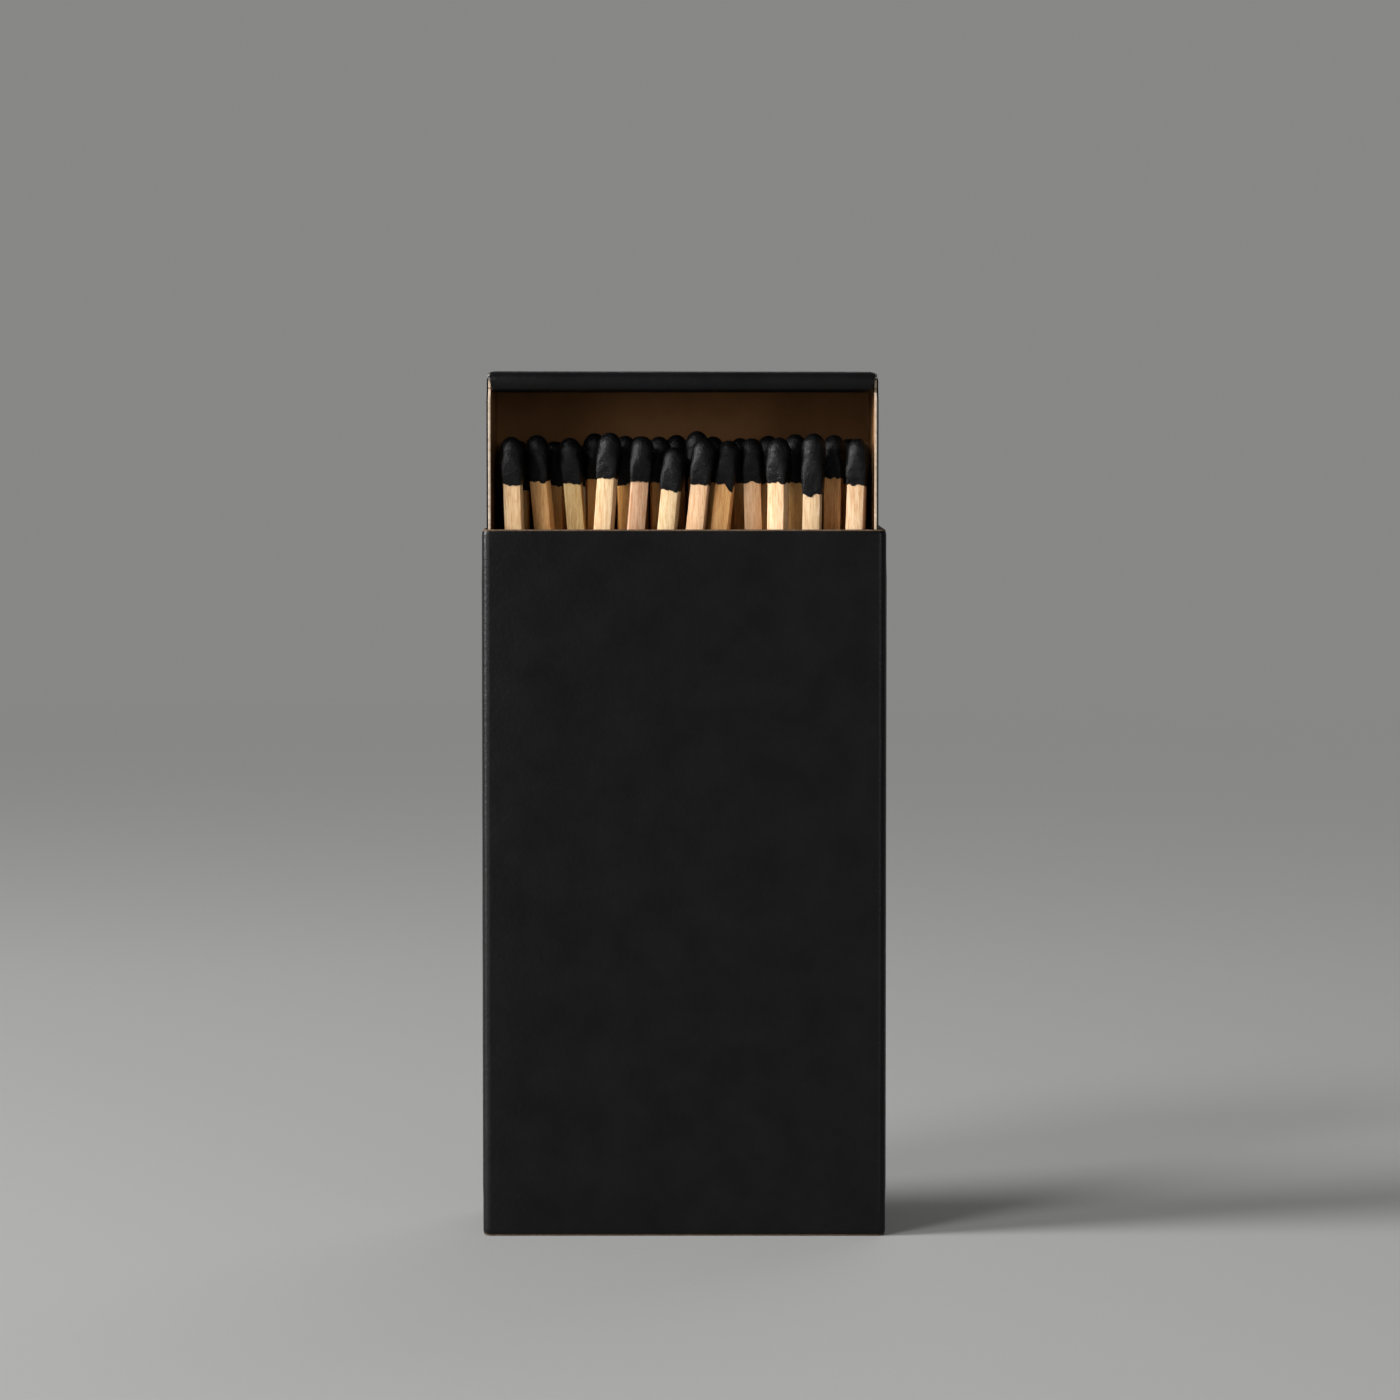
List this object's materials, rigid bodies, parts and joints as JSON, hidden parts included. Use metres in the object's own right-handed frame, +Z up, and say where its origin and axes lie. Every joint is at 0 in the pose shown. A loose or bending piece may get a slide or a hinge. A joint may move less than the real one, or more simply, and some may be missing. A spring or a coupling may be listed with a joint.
{
  "type": "matchbox",
  "caption": "Slide-open card matchbox standing on end, its folded tray drawn partly out of the sleeve and filled with long black-headed wooden matches.",
  "frame": {"origin": "on the surface the box stands on, under the middle of the sleeve", "axes": "+Z up along the sleeve and the way the tray slides out, +Y from the front panel to the back panel, +X to the right seen from the front"},
  "size_m": [0.0502, 0.0244, 0.1073],
  "materials": {
    "black_card": "matte",
    "tray_card": "matte",
    "striker_grit": "matte",
    "match_wood": "matte",
    "match_head": "matte"
  },
  "bodies": {
    "sleeve_body": {"sleeve": "black_card", "striker_left": "striker_grit", "striker_right": "striker_grit"},
    "tray_body": {"tray": "tray_card", "match_01": "match_wood", "match_02": "match_wood", "match_03": "match_wood", "match_04": "match_wood", "match_05": "match_wood", "match_06": "match_wood", "match_07": "match_wood", "match_08": "match_wood", "match_09": "match_wood", "match_10": "match_wood", "match_11": "match_wood", "match_12": "match_wood", "match_13": "match_wood", "match_14": "match_wood", "match_15": "match_wood", "match_16": "match_wood", "match_17": "match_wood", "match_18": "match_wood", "match_19": "match_wood", "match_20": "match_wood", "match_21": "match_wood", "match_22": "match_wood", "match_23": "match_wood", "match_24": "match_wood", "match_25": "match_wood", "match_26": "match_wood", "match_27": "match_wood", "match_28": "match_wood", "match_29": "match_wood", "match_30": "match_wood", "match_31": "match_wood", "match_32": "match_wood", "match_33": "match_wood", "match_34": "match_wood", "match_35": "match_wood", "match_36": "match_wood", "match_37": "match_wood", "match_38": "match_wood", "match_39": "match_wood", "match_40": "match_wood", "match_41": "match_wood", "match_42": "match_wood", "match_43": "match_wood", "match_44": "match_wood", "match_45": "match_wood", "match_46": "match_wood", "match_47": "match_wood", "match_48": "match_wood", "match_49": "match_wood", "match_50": "match_wood", "match_51": "match_wood", "match_52": "match_wood", "match_53": "match_wood", "match_54": "match_wood", "match_55": "match_wood", "match_56": "match_wood"}
  },
  "joints": [
    {"name": "tray_slide", "type": "slide", "parent": "sleeve_body", "child": "tray_body", "axis": [0, 0, 1], "range_m": [-0.0199, 0.0575]}
  ]
}
